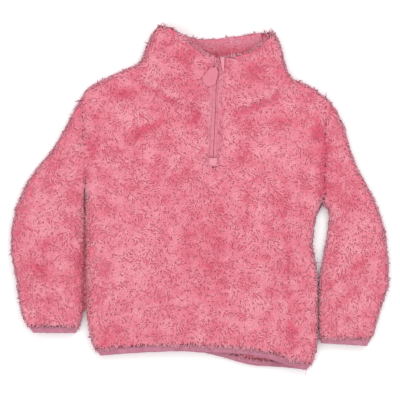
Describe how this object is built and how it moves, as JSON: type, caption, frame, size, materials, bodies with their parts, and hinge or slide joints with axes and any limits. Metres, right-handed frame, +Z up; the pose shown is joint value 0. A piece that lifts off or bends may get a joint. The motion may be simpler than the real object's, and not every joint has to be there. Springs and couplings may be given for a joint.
{
  "type": "fleece pullover",
  "caption": "Child's pullover in high-pile fleece with a tall collar and a short neck zip, lying flat on its back, front up.",
  "frame": {"origin": "on the surface that the garment lies on, under the middle of its outline", "axes": "+Z up out of the front, +Y towards the collar, +X towards the wearer's left sleeve"},
  "size_m": [0.567, 0.517, 0.0293],
  "materials": {
    "fleece": "high-pile polyester fleece with curled locks, matt",
    "lining": "short brushed pile, matt",
    "binding": "knitted elastane binding, soft sheen",
    "zip_tape": "woven polyester tape with a nylon coil",
    "trim": "woven trim with a slight sheen",
    "slider": "die-cast zinc, painted to match the cloth",
    "pull": "soft moulded tab, satin"
  },
  "bodies": {
    "garment": {"front": "fleece", "back": "fleece", "sleeve_left": "fleece", "sleeve_right": "fleece", "collar": "fleece", "collar_lining": "lining", "hem_binding": "binding", "cuff_binding_left": "binding", "cuff_binding_right": "binding", "zip_tape_left": "zip_tape", "zip_tape_right": "zip_tape", "zip_coil": "zip_tape", "zip_end_patch": "trim", "zip_garage": "trim", "zip_slider": "slider"},
    "pull": {"zip_pull": "pull"}
  },
  "joints": [
    {"name": "pull_swing", "type": "hinge", "parent": "garment", "child": "pull", "pos_m": [0.02497, 0.19657, 0.02749], "axis": [-0.8838, 0.4624, 0.0712], "range_deg": [0, 170]}
  ]
}
